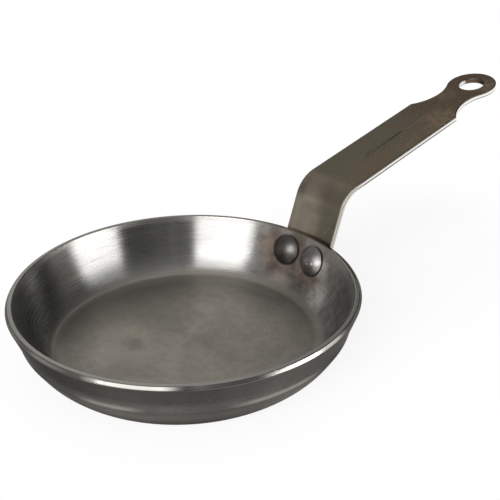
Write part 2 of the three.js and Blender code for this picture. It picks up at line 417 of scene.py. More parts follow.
grip_end, eye = Vector((grip_length, half_strip)), Vector((eye_run, 0))
span = (eye - grip_end).length
turn_in = math.acos(
    (neck_radius ** 2 + span ** 2 - (neck_radius + eye_radius) ** 2) / (2 * neck_radius * span)
)
toward_eye = math.atan2(eye.y - grip_end.y, eye.x - grip_end.x)
neck_centre = on_circle(grip_end, neck_radius, toward_eye + turn_in)
neck_start = math.atan2(grip_end.y - neck_centre.y, grip_end.x - neck_centre.x)
neck_end = math.atan2(eye.y - neck_centre.y, eye.x - neck_centre.x)
grip_rows = [(fold_reach, half_strip), (grip_length, half_strip)]
for i in range(1, neck_steps + 1):
    angle = neck_start + (neck_end - neck_start) * i / neck_steps
    grip_rows.append(tuple(on_circle(neck_centre, neck_radius, angle)))
for i in range(1, eye_steps + 1):
    angle = (neck_end + math.pi) * (1 - i / (eye_steps + short_of_tip))
    grip_rows.append(tuple(on_circle(eye, eye_radius, angle)))
print("rows of the foot:", len(foot_rows), " rows of the grip:", len(grip_rows))

# %% [markdown]
# The strip starts as one edge across the lower end of the foot. Each row is
# extruded from the one before it and scaled to its own width. A curve with a
# taper would give a strip too, but its rows would not fall on the corners of
# the outline. An open sheet has no inside, so if its faces come out looking
# down, they are all turned over.

# %% Pull the strip along
def pull(rows, along):
    for (run, half), (next_run, next_half) in zip(rows, rows[1:]):
        step = (next_run - run) * along * MM
        bpy.ops.mesh.extrude_region_move(TRANSFORM_OT_translate={"value": step})
        bpy.ops.transform.resize(value=(1, next_half / half, 1), center_override=(0, 0, 0))


put_down()
first_half = foot_rows[0][1]
bpy.ops.mesh.primitive_plane_add(size=2 * first_half * MM)
handle = bpy.context.object
handle.name = handle.data.name = "handle.strip"
pick_points(handle, lambda p: p.x > 0)
bpy.ops.mesh.delete(type="VERT")
bpy.ops.mesh.select_all(action="SELECT")
bpy.ops.mesh.subdivide(number_cuts=15)
foot_start = corner + foot_end * up_foot + Vector((first_half, 0, 0))
bpy.ops.transform.translate(value=foot_start * MM)
pull(foot_rows, up_foot)
bpy.ops.mesh.spin(steps=18, angle=fold_turn, center=fold_centre * MM, axis=(0, -1, 0))
pull(grip_rows, along_grip)
close_up()
take(handle)
if sum(face.normal.z * face.area for face in handle.data.polygons) < 0:
    bpy.ops.object.mode_set(mode="EDIT")
    bpy.ops.mesh.flip_normals()
    take(handle)
print("upper face:", len(handle.data.polygons), "faces,", in_mm(handle.dimensions), "mm")

# %% [markdown]
# Solidify gives the strip its thickness. The foot then has to lie against a
# round wall. Bending it across needs a window, and a lattice would have to be
# fitted, so each point of the foot is pressed outwards by the depth that the
# wall's own curve has there, fading out below the fold.

# %% Thicken the strip and hollow its foot
bpy.ops.object.modifier_add(type="SOLIDIFY")
thicken = handle.modifiers[-1]
thicken.thickness, thicken.offset = strip_sheet * MM, -1
thicken.use_even_offset = True
bpy.ops.object.modifier_apply(modifier=thicken.name)
for point in handle.data.vertices:
    run = (point.co / MM - corner).dot(up_foot)
    if run < -fold_reach:
        fade = max(0, (run + fold_reach + foot_flatten) / foot_flatten)
        across = 1 - (point.co.y / MM / half_strip) ** 2
        point.co += foot_hollow * (1 - fade * fade * (3 - 2 * fade)) * across * out_of_foot * MM
print("strip:", in_mm(handle.dimensions), "mm")
print("frame:", box_size(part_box("handle")), "mm")

# %% [markdown]
# Holes are drilled with a boolean, after the flat of the grip has been
# dissolved to single faces, so that no stray edge crosses a hole. Each cutter
# is a plain cylinder that goes away again, so it isn't a piece of its own.

# %% Drill the holes
def cut(piece, cutter, operation="DIFFERENCE"):
    take(piece)
    bpy.ops.object.modifier_add(type="BOOLEAN")
    knife = piece.modifiers[-1]
    knife.operation, knife.solver, knife.object = operation, "EXACT", cutter
    bpy.ops.object.modifier_apply(modifier=knife.name)
    bpy.data.objects.remove(cutter)


def drill(piece, place, radius, length, sides):
    put_down()
    bpy.ops.mesh.primitive_cylinder_add(vertices=sides, radius=radius * MM, depth=length * MM)
    bit = bpy.context.object
    bit.matrix_world = place
    cut(piece, bit)


def beyond_fold(c, margin=0.0):
    return (c - corner).dot(along_grip) > fold_reach + margin


pick_faces(handle, lambda c, n: beyond_fold(c, margin=0.1) and abs(n.dot(under_grip)) > 0.999)
bpy.ops.mesh.dissolve_limited(angle_limit=math.radians(0.2))
eye_middle = corner + eye_run * along_grip + strip_sheet / 2 * under_grip
eye_place = Matrix.Translation(eye_middle * MM) @ Matrix.Rotation(-tilt, 4, "Y")
drill(handle, eye_place, hole_radius, length=12, sides=72)
for turn in (rivet_turn, -rivet_turn):
    for piece in (pan, handle):
        drill(piece, rivet_place(turn), shank_radius + gap, length=16, sides=36)
print("strip after drilling:", len(handle.data.polygons), "faces; pan:", len(pan.data.polygons), "faces")

# %% [markdown]
# A cut strip is never sharp: the shear rolls one edge over and the tumbling
# barrel breaks the others. A bevel modifier rounds every edge that turns a
# right angle. The stamped line along the grip is a shallow V with the metal it
# pushed aside standing up next to it. Both are set in afterwards, one cut and
# one joined on, so that their own edges stay crisp.

# %% Break the edges and stamp the grip
edge_break = 0.42
line_start, line_end = 24.0, 63.5

take(handle)
bpy.ops.object.modifier_add(type="BEVEL")
breaking = handle.modifiers[-1]
breaking.width, breaking.segments = edge_break * MM, 3
breaking.limit_method, breaking.angle_limit = "ANGLE", math.radians(50)
breaking.use_clamp_overlap = False
bpy.ops.object.modifier_apply(modifier=breaking.name)


def line_bar(aside, half_width, height):
    # A bar of four flanks laid along the grip, half of it above the upper face
    put_down()
    bpy.ops.mesh.primitive_cube_add(size=math.sqrt(2))
    bar = bpy.context.object
    middle = corner + (line_start + line_end) / 2 * along_grip + Vector((0, aside, 0))
    stretch = ((line_end - line_start) * MM / math.sqrt(2), half_width * MM, height * MM, 1)
    bar.matrix_world = (
        Matrix.Translation(middle * MM)
        @ Matrix.Rotation(-tilt, 4, "Y")
        @ Matrix.Diagonal(stretch)
        @ Matrix.Rotation(math.pi / 4, 4, "X")
    )
    return bar


cut(handle, line_bar(aside=0.22, half_width=0.26, height=0.1))
cut(handle, line_bar(aside=-0.24, half_width=0.16, height=0.1), "UNION")
print("handle:", len(handle.data.polygons), "faces")

# %% [markdown]
# Smooth shading alone would let the narrow bevels tilt the light on the wide
# flats beside them. Edges that turn more than 40 degrees are kept sharp, and a
# weighted normal modifier lets each wide face rule its own corners, so that
# flats stay flat and only the bevels curve.

# %% Smooth shading
for piece in (pan, handle, rivet_left, rivet_right):
    take(piece)
    bpy.ops.object.shade_smooth_by_angle(angle=math.radians(40))
    bpy.ops.object.modifier_add(type="WEIGHTED_NORMAL")
    ruling = piece.modifiers[-1]
    ruling.keep_sharp = True
    bpy.ops.object.modifier_apply(modifier=ruling.name)
    print(piece.name, "triangles:", sum(len(face.vertices) - 2 for face in piece.data.polygons))

# %% [markdown]
# Finishes are written as sums. A Wire stands for one socket of a node tree, so
# that adding or multiplying two of them places the Math node and its links.
# Any other node comes from one call that takes its kind, its settings and what
# goes into its sockets.

# %% Wires
class Wire:
    def __init__(self, socket):
        self.socket, self.tree = socket, socket.id_data

    @classmethod
    def node(cls, tree, kind, settings=None, inputs=None, output=0):
        made = tree.nodes.new(kind)
        for name, value in (settings or {}).items():
            setattr(made, name, value)
        for name, value in (inputs or {}).items():
            if isinstance(value, Wire):
                tree.links.new(value.socket, made.inputs[name])
            else:
                made.inputs[name].default_value = value
        return cls(made.outputs[output])

    def math(self, operation, *values):
        return self.node(self.tree, "ShaderNodeMath", {"operation": operation}, dict(enumerate(values)))

    def __add__(self, other):
        return self.math("ADD", self, other)

    def __radd__(self, other):
        return self.math("ADD", other, self)

    def __sub__(self, other):
        return self.math("SUBTRACT", self, other)

    def __rsub__(self, other):
        return self.math("SUBTRACT", other, self)

    def __mul__(self, other):
        return self.math("MULTIPLY", self, other)

    def __rmul__(self, other):
        return self.math("MULTIPLY", other, self)

    def __truediv__(self, other):
        return self.math("DIVIDE", self, other)

    def __rtruediv__(self, other):
        return self.math("DIVIDE", other, self)

    def __pow__(self, other):
        return self.math("POWER", self, other)

    def larger(self, other):
        return self.math("MAXIMUM", self, other)

    def smaller(self, other):
        return self.math("MINIMUM", self, other)

    def rise(self, start, end):
        # 0 before start and 1 after end, or falling where start is the larger
        return self.node(
            self.tree, "ShaderNodeMapRange", {"interpolation_type": "SMOOTHSTEP"},
            {"Value": self, "From Min": start, "From Max": end},
        )

    def band(self, start, end, soft):
        return self.rise(start - soft, start + soft) * self.rise(end + soft, end - soft)


print("sums are ready")

# %% [markdown]
# A finish starts from where a point lies on the piece, in millimetres. Brush
# marks run round the pan, so their noise is read on the direction from the
# axis, which joins up with itself, and on the height and radius together,
# which always grow up the wall or out over the floor.

# %% Places and marks on a surface
def place_on(tree):
    spot = Wire.node(tree, "ShaderNodeTexCoord", output="Object")
    return Wire.node(
        tree, "ShaderNodeVectorMath", {"operation": "SCALE"}, {0: spot, "Scale": 1 / MM}
    )


def split(vector):
    return [Wire.node(vector.tree, "ShaderNodeSeparateXYZ", {}, {0: vector}, i) for i in range(3)]


def join(x, y, z):
    return Wire.node(x.tree, "ShaderNodeCombineXYZ", {}, {0: x, 1: y, 2: z})


def from_axis(x, y):
    return (x * x + y * y) ** 0.5


def noise(vector, scale, detail=2.0, rough=0.5):
    return Wire.node(
        vector.tree, "ShaderNodeTexNoise", {},
        {"Vector": vector, "Scale": scale, "Detail": detail, "Roughness": rough},
    )


def brush_marks(spot, around, across, detail=3.0):
    x, y, z = split(spot)
    radius = from_axis(x, y)
    lengthwise = join(x / radius * around, y / radius * around, (radius + z) * across)
    return noise(lengthwise, 1.0, detail, 0.6)


print("marks are ready")

# %% [markdown]
# Real steel is never one colour. Its stains, rubbed places and shadows of use
# are laid over a ground colour one after another, as thin coats of paint would
# be. Each coat is a pair: how strongly it covers at each point, and its colour
# as red, green and blue. Most cover a soft round patch about one place, and
# some lie to the back or the left of the pan as the camera sees it. The line of
# sight, seen from above, is the camera's turn written as two rounded lengths.

# %% Coats of colour
sight_x, sight_y = 0.66, 0.75


def backward(x, y):
    return x * sight_x + y * sight_y


def leftward(x, y):
    return y * sight_x - x * sight_y


def distance(spot, place):
    return Wire.node(
        spot.tree, "ShaderNodeVectorMath", {"operation": "DISTANCE"}, {0: spot, 1: place}, "Value"
    )


def patch(spot, place, outer, inner):
    return distance(spot, place).rise(outer, inner)


def tint(amount, plain, tinted):
    plain, tinted = (c if isinstance(c, Wire) else (*c, 1) for c in (plain, tinted))
    return Wire.node(
        amount.tree, "ShaderNodeMix", {"data_type": "RGBA"}, {0: amount, 6: plain, 7: tinted}, 2
    )


def coated(ground, *coats):
    for amount, colour in coats:
        ground = tint(amount, ground, colour)
    return ground


print("coats are ready")

# %% [markdown]
# Every finish here is bare metal, so each is the same shader with its own
# colour, gloss and marks. What is the same all over is set on the shader's
# own sockets: fully metallic, for brushed steel the direction in which the
# brush spreads the light, and for a dull skin how little it brightens where it
# is seen edge on.

# %% Bare metal
def finish(name):
    made = bpy.data.materials.new(name)
    made.use_nodes = True
    return made, made.node_tree, place_on(made.node_tree)


def metal(tree, colour, roughness, height=None, deep=0.0, brushed=0.0, edge=1.0):
    inputs = {
        "Base Color": colour, "Roughness": roughness, "Metallic": 1.0,
        "Anisotropic": brushed, "Anisotropic Rotation": 0.25,
        "Specular Tint": (edge, edge, edge, 1),
    }
    if height:
        inputs["Normal"] = Wire.node(
            tree, "ShaderNodeBump", {}, {"Strength": 1.0, "Distance": deep * MM, "Height": height}
        )
    return Wire.node(tree, "ShaderNodeBsdfPrincipled", {}, inputs)


def blend(amount, first, second):
    return Wire.node(amount.tree, "ShaderNodeMixShader", {}, {0: amount, 1: first, 2: second})


def show(made, surface):
    tree = made.node_tree
    tree.nodes.remove(tree.nodes["Principled BSDF"])
    tree.links.new(surface.socket, tree.nodes["Material Output"].inputs["Surface"])
    print(made.name, "has", len(tree.nodes), "nodes")


print("bare metal is ready")

# %% [markdown]
# The wall's inside was brushed round and round, which smears reflections up
# and down it and leaves their sides sharp. Fine streaks stand up in it a
# little, as a bump. On its left and right the wall is painted darker as painted
# shade, and its streaks are filled there. Wall, stains and floor run into each
# other along ragged borders, so the inside is one material with three shaders.

# %% Brushed wall
inside, tree, spot = finish("steel, brushed inside")
x, y, z = split(spot)
radius = from_axis(x, y)
cloud, blot = noise(spot, 0.09, 3.0), noise(spot, 0.3, 4.0, 0.6)
clouds = cloud.rise(0.3, 0.7)

coarse, fine = brush_marks(spot, 2.0, 1.4), brush_marks(spot, 4.5, 4.5, 2.0)
streaks = coarse * 0.3 + fine * 0.7
# Painted shade: darker patches on the wall's left and right, which also fill its streaks
painted_shade_sides = patch(spot, (-46.8, 28.6, 13), 28, 12) * 0.7 + patch(spot, (37.9, -39.9, 14), 20, 8) * 0.6
colour = coated(
    tint(streaks.rise(0.3, 0.7), (0.26, 0.256, 0.249), (0.35, 0.344, 0.335)),
    (z.rise(20.5, 22.3) * 0.5, (0.22, 0.216, 0.21)),
    (painted_shade_sides, (0.1, 0.098, 0.094)),
)
brushed_wall = metal(
    tree, colour, 0.23 + coarse * 0.1, streaks * (1 - painted_shade_sides * 0.6), deep=0.013, brushed=1.0
)
print("nodes so far:", len(tree.nodes))

# %% [markdown]
# The heat of closing the rivets has stained the wall about them with brown and
# pink, and a duller grey cloud spreads from there to the right. A dark ring of
# painted shade lies round the seat of each rivet, the wall's top is scorched
# beside the handle, and some places have been rubbed pale again. A stain hides
# the brush marks, so it has a shader of its own.

# %% Stained wall
from_left, from_right = (
    distance(spot, (rivet_level.x * math.cos(turn), rivet_level.x * math.sin(turn), rivet_level.y))
    for turn in (rivet_turn, -rivet_turn)
)
near_rivet = from_left.smaller(from_right)
heated = (near_rivet + (cloud - 0.5) * 9).rise(16, 7)
clouded = (distance(spot, (49, -18, 14)) + (cloud - 0.5) * 24).rise(46, 20)
heat_colour = tint(blot.rise(0.3, 0.7), (0.085, 0.06, 0.047), (0.195, 0.146, 0.116))
rubbed_and_painted_light = patch(spot, (53.4, -13.2, 15), 6, 1.5) + patch(spot, (47, -16.5, 6), 8, 2)
smeared = patch(spot, (51.5, 12.5, 9), 8, 2) + patch(spot, (53.2, 15.3, 16.6), 5, 1) * 0.6
straw = patch(spot, (47.5, 5, 4), 7, 2)
scorched = patch(spot, (57.1, 2.6, 21.5), 5.5, 2.5) + patch(spot, (55.3, 13.9, 20.4), 4, 1.5)
colour = coated(
    tint(clouds * 0.5 + blot.rise(0.35, 0.65) * 0.5, (0.125, 0.119, 0.112), (0.29, 0.279, 0.263)),
    (heated * 0.85, heat_colour),
    (rubbed_and_painted_light * (0.4 + blot.rise(0.3, 0.6) * 0.5), (0.56, 0.52, 0.485)),
    (smeared * 0.3, (0.075, 0.062, 0.052)),
    (straw * 0.7, (0.42, 0.365, 0.295)),
    # Painted shade: a dark ring round the seat of each rivet head
    (near_rivet.rise(6.5, 5.9) * 0.8, (0.045, 0.037, 0.031)),
    (z.rise(17, 21.5) * 0.4, (0.44, 0.41, 0.38)),
    (scorched * 0.65, (0.095, 0.07, 0.055)),
)
stained_wall = metal(tree, colour, 0.34 + blot * 0.16, blot, deep=0.008)
stained = (clouded * 0.85).larger(heated).larger(z.rise(20, 22.3) * 0.4)
wall = blend(stained, brushed_wall, stained_wall)
print("nodes so far:", len(tree.nodes))

# %% [markdown]
# The floor was finished duller than the wall and has been warmed by use. It is
# darker away from the middle and shows one soft stain. Two places towards the
# back left are painted darker as painted shade, and two other places and the
# back edge are painted lighter as painted light. A pale ragged line lies where
# it starts to bend. The wall gives way to it just outside that line, by the
# distance from the axis.

# %% Floor of the pan
stain_x, stain_y, stain_wide, stain_long = -16.6, 8.5, 3.6, 5.5

wobble = (noise(spot, 0.12, 4.0, 0.6) - 0.5) * 6
rings = brush_marks(spot, 3.0, 1.2)
fan = noise(join(x / radius, y / radius, radius * 0.02), 3.0, 2.0)
from_stain = ((x - stain_x) / stain_wide) ** 2.0 + ((y - stain_y) / stain_long) ** 2.0
stain = (from_stain + (blot - 0.5) * 4).rise(1.7, -0.2)
warmed = patch(spot, (-19, 12, sheet), 20, 5)
# Painted shade in two places towards the back left
shaded = patch(spot, (3.9, 28.6, sheet), 20, 6) + patch(spot, (-27.5, 32.3, sheet), 14, 4)
outlying = distance(spot, (-5, -8.5, sheet)).rise(32, 58)
# Painted light along the floor's back edge
back_edge = radius.rise(38, 44) * (backward(x, y) / radius).rise(0.4, 0.9)
# Painted light in two other places
painted_light_floor = patch(spot, (33.8, 26.2, sheet), 15, 5) + patch(spot, (22, -11.4, sheet), 14, 4) * 0.6
bend_line = (radius + wobble * 0.1).band(bend_centre.x + 0.3, bend_centre.x + 0.9, 0.5)
bend_line = bend_line * (y / radius).rise(-0.1, 0.6)
colour = coated(
    tint(fan.rise(0.3, 0.7), (0.355, 0.32, 0.295), (0.358, 0.334, 0.272)),
    (clouds * 0.6 + rings.rise(0.3, 0.7) * 0.4, (0.278, 0.261, 0.227)),
    (blot.rise(0.4, 0.65) * 0.3, (0.2, 0.187, 0.155)),
    (warmed * 0.25, (0.56, 0.52, 0.43)),
    (shaded * 0.45, (0.2, 0.187, 0.16)),
    (stain * 0.6, (0.2, 0.187, 0.15)),
    (outlying * 0.75, (0.135, 0.127, 0.111)),
    (back_edge * 0.25, (0.55, 0.52, 0.46)),
    (painted_light_floor * 0.13, (0.56, 0.52, 0.46)),
    (bend_line * (0.15 + clouds * 0.3), (0.6, 0.56, 0.48)),
)
satin_floor = metal(tree, colour, 0.4 + cloud * 0.08, rings, deep=0.012, brushed=0.4)
on_floor = (radius + wobble * 0.8).rise(bend_centre.x + 4.1, bend_centre.x + 0.6)
show(inside, blend(on_floor, wall, satin_floor))

# %% [markdown]
# The lip was cut and ground, so it is plainer and brighter than the wall, and
# towards the left it is painted lighter still as painted light. Its outer slope
# has kept some dark skin towards the left, and near the handle the heat of the
# rivets has browned it. On that slope a light patch at the front left is a
# painted highlight, and a dark patch at the front middle is painted shade that
# ends the highlight sooner. Behind the handle's foot its edge is rubbed light.
# On the right a thin line along the corner is a painted highlight, with painted
# shade just below it. Several materials would leave hard seams, so the depth
# below the lip's top and the place choose the coat.

# %% Lip
lip, tree, spot = finish("steel, ground lip")
x, y, z = split(spot)
marks = brush_marks(spot, 14.0, 2.0)
left, back = leftward(x, y) / rim_radius, backward(x, y) / rim_radius
below_top = lip_inside.y - z
slope = below_top.rise(0.14, 0.3)
outer = from_axis(x, y).rise(rim_radius - 2.3, rim_radius - 1.8)
behind_foot = outer * x.rise(50, 54) * y.band(-12, 11, 0.8)
painted_right_corner = outer * left.rise(-0.6, -0.85) * back.rise(-0.5, -0.35)
colour = coated(
    tint(marks, (0.31, 0.297, 0.273), (0.375, 0.361, 0.334)),
    # Painted light: the lip lighter towards the left
    (left.rise(0.1, 0.9) * back.rise(-0.5, 0.0) * 0.3, (0.6, 0.58, 0.51)),
    (patch(spot, (57.5, 0, 22), 22, 9) * 0.75, (0.13, 0.113, 0.097)),
    (slope * left.rise(-0.12, 0.12), (0.135, 0.13, 0.12)),
    (slope * left.rise(0.22, 0.42), (0.215, 0.206, 0.19)),
    # Painted highlight on the slope at the front left, and painted shade that ends it at the front middle
    (slope * patch(spot, (-54, -25, 21.9), 4.5, 1.5) * 0.85, (0.5, 0.48, 0.45)),
    (slope * patch(spot, (-38.5, -45.6, 21.8), 6, 2) * 0.8, (0.1, 0.096, 0.089)),
    (behind_foot, (0.72, 0.62, 0.5)),
    # Painted highlight along the right corner, and painted shade on the slope just below it
    (painted_right_corner * below_top.band(0.17, 0.31, 0.03) * 0.8, (0.8, 0.77, 0.71)),
    (painted_right_corner * below_top.rise(0.33, 0.45) * 0.7, (0.1, 0.096, 0.089)),
    (below_top.rise(1.0, 1.3) * 0.6, (0.06, 0.057, 0.053)),
)
show(lip, metal(tree, colour, 0.15 + marks * 0.06, marks, deep=0.001, edge=0.35))

# %% [markdown]
# Outside, the sheet keeps the dark skin of the rolling mill, brushed a little
# and flecked with fine pale specks. The tuck below the shoulder is scuffed
# paler from standing on hobs. The shoulder is rubbed a little all round, is
# painted bright in two places as painted highlights and is painted darker as
# painted shade between them. Towards the left the wall is darker high up, and
# close to the base it carries a painted shadow.

# %% Outside of the pan
outside, tree, spot = finish("steel, dark outside")
x, y, z = split(spot)
marks, scuffs = brush_marks(spot, 4.0, 1.5), noise(spot, 0.9, 4.0, 0.7)
cloud, speck = noise(spot, 0.09, 2.0), noise(spot, 2.2, 2.0)
skin = marks * 0.5 + scuffs * 0.5
tucked = (z + (scuffs - 0.5) * 4).rise(11, 8)
# Painted highlights: two places on the shoulder that are painted bright
painted_highlight_places = patch(spot, (-50, -26, 11.5), 13, 4) + patch(spot, (-8, -56, 11.5), 19, 8)
rubbed_and_painted_light = z.band(10.6, 12.2, 0.8) * (0.06 + painted_highlight_places * (0.4 + scuffs * 0.5))
flecked = speck.rise(0.63, 0.72) * z.rise(20, 14)
to_the_left = (leftward(x, y) / rim_radius).rise(-0.65, -0.1)
colour = coated(
    tint(skin, (0.082, 0.078, 0.071), (0.158, 0.15, 0.138)),
    (cloud.rise(0.45, 0.65) * 0.3, (0.175, 0.166, 0.154)),
    (tucked * (0.35 + scuffs.rise(0.25, 0.75) * 0.5), (0.128, 0.117, 0.108)),
    # Painted shade on the shoulder between the painted highlights
    (z.band(10.2, 12.8, 0.8) * (1 - painted_highlight_places) * 0.25, (0.05, 0.047, 0.044)),
    (z.rise(12.5, 16) * to_the_left * 0.5, (0.042, 0.04, 0.037)),
    # Painted shadow close to the base on the left
    (z.rise(8.5, 3) * to_the_left * 0.65, (0.04, 0.037, 0.034)),
    (rubbed_and_painted_light, (0.36, 0.342, 0.32)),
    (flecked * (0.25 + scuffs.rise(0.3, 0.7) * 0.45), (0.36, 0.336, 0.32)),
)
roughness = 0.36 + marks * 0.08 + tucked * 0.18
show(outside, metal(tree, colour, roughness, skin, deep=0.022, brushed=0.7, edge=0.35))

# %% [markdown]
# The handle was browned and left so: a dark olive grey that turns to brown
# and grows blotchy towards the eye. Three sizes of noise make the clouds, blots
# and specks. They could be painted by hand on an unwrapped mesh, but noise read
# from the place of each point needs no seams and can be changed by a number.

# %% Face of the grip
browned, tree, spot = finish("steel, browned")
x, y, z = split(spot)
cloud, blot = noise(spot, 0.1, 4.0, 0.6), noise(spot, 0.4, 4.0, 0.65)
speck = noise(spot, 2.0, 3.0, 0.6)
far = (x + (cloud - 0.5) * 50).rise(108, 140)
bloom = (
    patch(spot, (127, -9, 54.8), 13, 3) + patch(spot, (156, -7, 61.8), 8, 2)
    + patch(spot, (143, 4, 58), 7, 1) * 0.6 + patch(spot, (67.6, -5.6, 39.7), 6, 1) * 0.7
)
mottled = y.rise(-3, -10) * x.band(98, 134, 9) * blot.rise(0.4, 0.62)
grip_colour = coated(
    tint((cloud - y * 0.012).rise(0.4, 0.65), (0.146, 0.131, 0.098), (0.172, 0.132, 0.093)),
    (far * 0.75, (0.126, 0.087, 0.057)),
    (bloom * blot.rise(0.35, 0.6) * 0.8, (0.28, 0.216, 0.14)),
    (mottled * 0.45, (0.25, 0.2, 0.13)),
    (speck.rise(0.46, 0.26) * 0.4, (0.075, 0.059, 0.042)),
    (speck.rise(0.48, 0.76) * (0.4 + far * 0.4), (0.31, 0.26, 0.2)),
)
print("nodes so far:", len(tree.nodes))

# %% [markdown]
# Below the fold the foot is painted paler on its left and near its top as
# painted light, with faint smears along it and a few bright chips low on the
# right. Above the fold the stamped line is painted dark in its groove as painted
# shade and light on the metal beside it as a painted highlight. All of this is
# laid over the grip's colour, so that the strip stays one material from end to
# end.

# %% Foot and stamped line
smears = noise(join(x * 0.04, y * 0.45, z * 0.04), 1.0, 3.0)
# Painted light: the foot paler on its left and near its top
rubbed_and_painted_light = (y + (blot - 0.5) * 5).rise(-5, 3).larger(z.rise(34, 39) * 0.6)
foot_colour = coated(
    tint(rubbed_and_painted_light, (0.132, 0.116, 0.091), (0.26, 0.222, 0.175)),
    (smears.rise(0.35, 0.65) * 0.35, (0.16, 0.141, 0.116)),
    (patch(spot, (65.6, 4.6, 36.8), 4.5, 1.5) * 0.6, (0.3, 0.26, 0.205)),
    (patch(spot, (65, 10.5, 36), 4, 1.5) * 0.45, (0.13, 0.115, 0.09)),
)
chipped = patch(spot, (61.3, -7.4, 26), 5, 1) * speck.rise(0.58, 0.7)
line_from, line_to = (corner.x + run * along_grip.x for run in (line_start, line_end))
along_line = x.band(line_from + 0.5, line_to - 0.5, 0.5)
colour = coated(
    grip_colour,
    (x.rise(74, 66), foot_colour),
    (chipped * 0.6, (0.45, 0.41, 0.35)),
    # Painted shade in the stamped groove and a painted highlight on the metal beside it
    (along_line * y.band(0.05, 0.42, 0.12) * 0.35, (0.07, 0.056, 0.042)),
    (along_line * y.band(-0.42, -0.08, 0.12) * 0.6, (0.32, 0.27, 0.21)),
)
show(browned, metal(tree, colour, 0.3 + cloud * 0.12, blot, deep=0.015, edge=0.5))

# %% [markdown]
# The strip's sides are the bare cut metal. Along the grip a bright sheared
# band runs between two dark ones, and on the foot a dark band runs between two
# bright ones, so the finish has to know how deep a point lies in the strip.
# That depth differs for foot, fold and grip, so it is worked out once for each
# point of the mesh and kept there as an attribute for the shader to read.

# %% Cut sides of the strip
def strip_depth(place):
    if beyond_fold(place):
        return (place - corner).dot(under_grip)
    if (place - corner).dot(up_foot) < -fold_reach:
        return (place - corner).dot(out_of_foot)
    return fold_radius - Vector((place.x - fold_centre.x, place.z - fold_centre.z)).length


depths = handle.data.attributes.new("depth", "FLOAT", "POINT")
for point in handle.data.vertices:
    depths.data[point.index].value = strip_depth(point.co / MM)

sheared, tree, spot = finish("steel, sheared")
x = split(spot)[0]
grain = noise(spot, 0.6, 3.0)
below_face = Wire.node(tree, "ShaderNodeAttribute", {"attribute_name": "depth"}, {}, "Fac")
ragged = below_face + (grain - 0.5) * 0.25
bright = ragged.rise(0.45, 0.85) * (ragged - x.rise(118, 138) * 0.35).rise(1.65, 1.15)
foot_colour = tint(ragged.band(0.78, 1.2, 0.15), (0.74, 0.71, 0.67), (0.17, 0.15, 0.127))
colour = coated(
    tint(bright, (0.11, 0.1, 0.086), (0.9, 0.89, 0.87)),
    (x.rise(78, 70), foot_colour),
    (patch(spot, (68.8, -11.6, 38), 0.7, 0.3) * 0.85, (0.09, 0.08, 0.07)),
)
show(sheared, metal(tree, colour, 0.2 + grain * 0.1))

# %% [markdown]
# Browning lies thickest on the corners of the strip, where the shear rolled
# the metal over, so they are drawn round with a dark line. Only the right
# corner of the foot is rubbed light. In the punched hole one end is painted
# bright as a painted highlight and the other side painted dark as painted shade.

# %% Corners and hole of the strip
rolled, tree, spot = finish("steel, rolled corner")
x, y = split(spot)[:2]
grain = noise(spot, 0.8, 3.0)
colour = coated(
    tint(grain, (0.075, 0.062, 0.048), (0.12, 0.1, 0.078)),
    (x.rise(72, 67) * y.rise(0, -5), (0.26, 0.228, 0.187)),
)
show(rolled, metal(tree, colour, 0.4 + grain * 0.1, edge=0.3))

punched, tree, spot = finish("steel, punched")
x, y = split(spot)[:2]
grain = noise(spot, 0.9, 3.0)
# Painted light across the hole: bright at one end as a painted highlight, dark on the other side as
# painted shade
painted_light_across_hole = (y * 0.99 - (x - eye_middle.x) * 0.12) / hole_radius + (grain - 0.5) * 0.2
colour = coated(
    tint(painted_light_across_hole.rise(0.3, -0.5), (0.13, 0.09, 0.062), (0.03, 0.023, 0.017)),
    (painted_light_across_hole.rise(0.78, 0.92), (0.85, 0.83, 0.8)),
)
show(punched, metal(tree, colour, 0.25 + grain * 0.1, edge=0.5))

# %% [markdown]
# The rivets are plain steel, tumbled smooth and dulled by heat, one more than
# the other. Both wear one finish, which grows darker to the left, and each head
# carries a painted highlight on its right. Three small bright spots round three
# points on the right head are painted glints. The dents on the right head are
# spots round three points, because they are too small to be worth modelling.

# %% Rivets
tumbled, tree, spot = finish("steel, tumbled")
y = split(spot)[1]
speck = noise(spot, 1.2, 3.0, 0.6)
# Painted glints: three small bright spots on the right head
faint_glint, *clear_glints = (
    patch(spot, place, 0.55, 0.2)
    for place in ((51.5, -6.6, 16.9), (51.3, -7.3, 15.6), (51.6, -9.2, 16.1))
)
painted_glints = faint_glint * 0.5 + clear_glints[0] + clear_glints[1]
colour = coated(
    tint(speck, (0.13, 0.122, 0.119), (0.22, 0.207, 0.201)),
    (y.rise(-3, 3) * 0.85, (0.068, 0.06, 0.056)),
    (painted_glints * 0.6, (0.75, 0.72, 0.7)),
    # Painted highlight on the right of each head
    (patch(spot, (54, 2.2, 16.6), 3.8, 0.4) * 0.85, (0.17, 0.161, 0.157)),
    (patch(spot, (52.8, -11.8, 15.4), 3, 0.4) * 0.85, (0.44, 0.415, 0.41)),
)
show(tumbled, metal(tree, colour, 0.36 + speck * 0.12, speck, deep=0.01))

# %% [markdown]
# A piece can wear several finishes, and each face says which. The faces are
# picked by where they lie and which way they look. A mask inside one material
# would also do, but picked faces end exactly at a corner, as a cut or ground
# surface does. On the grip a side looks along the strip's own plane, and on the
# foot and fold it looks across, so each has its own limits.

# %% Choosing faces
lip_reach = 1.6
grip_side, grip_flat = 0.1, 0.97
foot_side, foot_flat = 0.98, 0.45


def facing_axis(c, n):
    return n.x * c.x + n.y * c.y < 0


def on_inside(c, n):
    return c.z > sheet - 0.1 and (n.z > 0.9 or facing_axis(c, n))


def on_lip(c, n):
    # Measured up the wall, from the lip's inner corner
    up_wall = (Vector((math.hypot(c.x, c.y), c.z)) - lip_inside).dot(-down_wall)
    return up_wall > -lip_reach and not (facing_axis(c, n) and n.z < 0.5)


